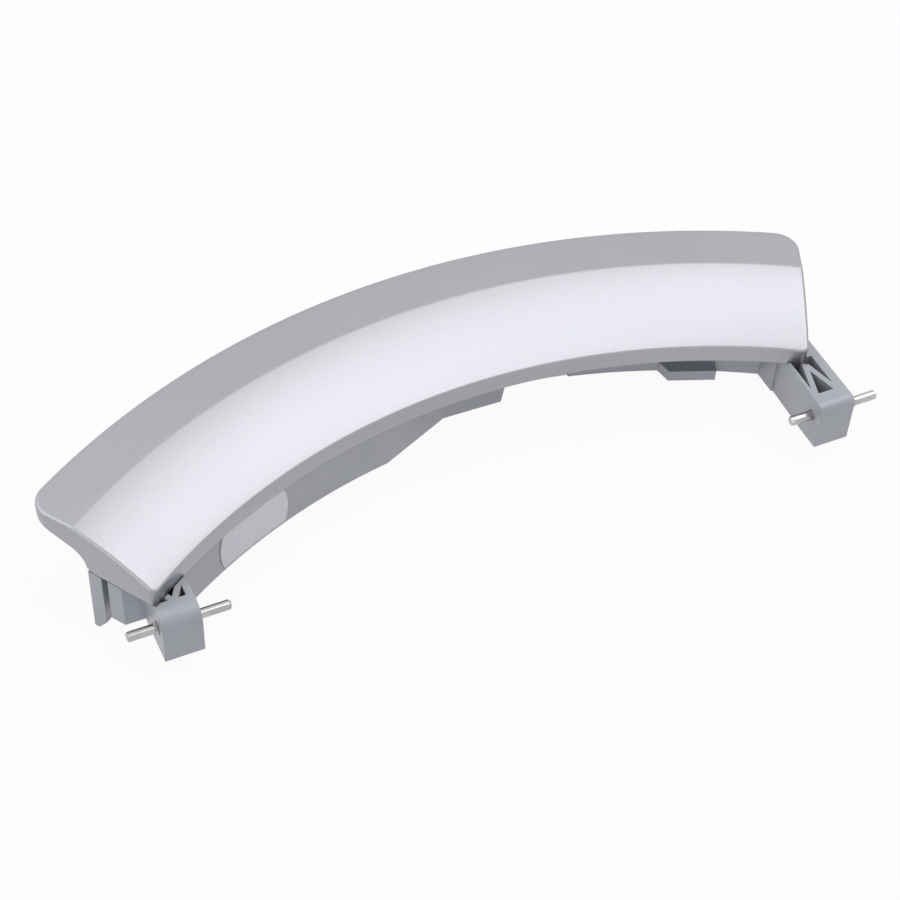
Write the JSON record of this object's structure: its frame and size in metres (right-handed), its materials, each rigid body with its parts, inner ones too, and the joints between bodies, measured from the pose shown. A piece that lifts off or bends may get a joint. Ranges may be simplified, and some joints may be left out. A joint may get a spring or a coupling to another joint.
{
  "type": "washing machine door handle",
  "caption": "Curved pull handle for a round washing machine door: silver cover with a finger lip on a ribbed grey carrier whose arms hold steel hinge pins.",
  "frame": {"origin": "middle of the hinge axis, which is the common line of the two steel pins", "axes": "+X along the hinge axis towards the right arm, +Y out to the lip, +Z out of the door"},
  "size_m": [0.2556, 0.091, 0.0396],
  "materials": {
    "silver_cover": "silver metallic paint, satin",
    "carrier_grey": "grey moulded plastic, satin",
    "pin_steel": "ground steel",
    "label_paper": "bare paper label"
  },
  "bodies": {
    "root": {"cover": "silver_cover", "carrier": "carrier_grey", "pin_left": "pin_steel", "pin_right": "pin_steel", "label": "label_paper"}
  },
  "joints": []
}
